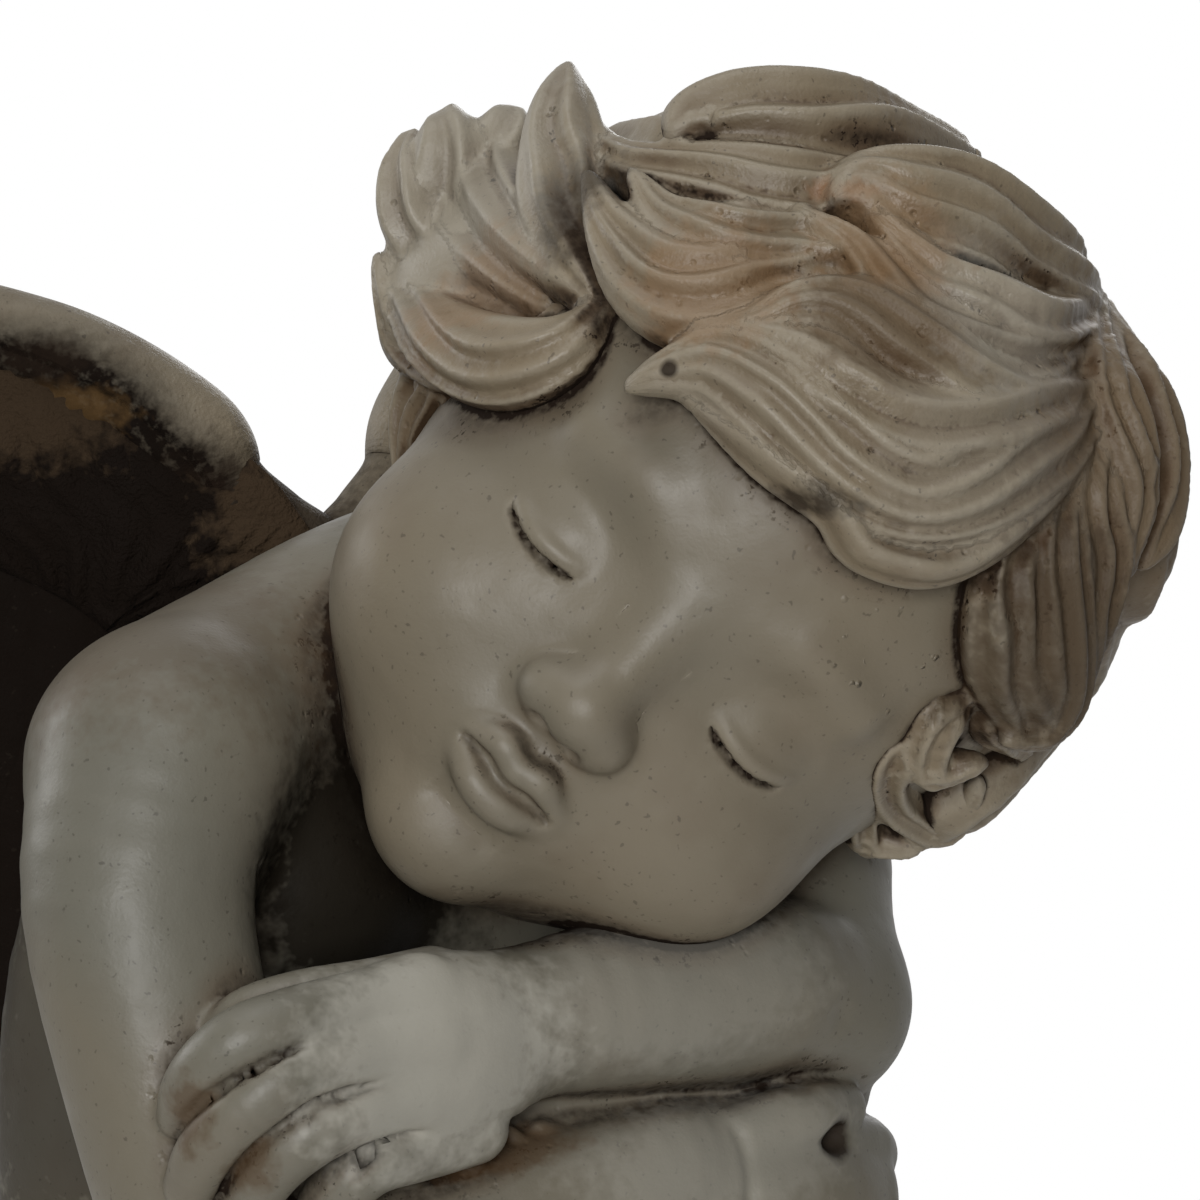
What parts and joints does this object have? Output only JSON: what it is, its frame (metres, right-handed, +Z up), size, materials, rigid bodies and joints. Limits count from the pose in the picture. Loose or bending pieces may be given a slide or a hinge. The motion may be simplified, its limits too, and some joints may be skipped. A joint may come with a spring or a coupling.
{
  "type": "seated angel statue",
  "caption": "Small cast statue of a sleeping child angel seated with arms crossed on drawn-up knees, wings behind, on a low oval base that stands on its flat underside.",
  "frame": {"origin": "on the flat underside of the base, at the middle of its oval", "axes": "+Z up; the figure faces -Y, and its left side, on which the head rests, is +X"},
  "size_m": [0.2164, 0.1652, 0.2373],
  "materials": {
    "cast_resin": "grey-green stone-like resin with a satin surface, brown patina in the hollows and paler rubbed ridges"
  },
  "bodies": {
    "root": {"angel_statue": "cast_resin"}
  },
  "joints": []
}
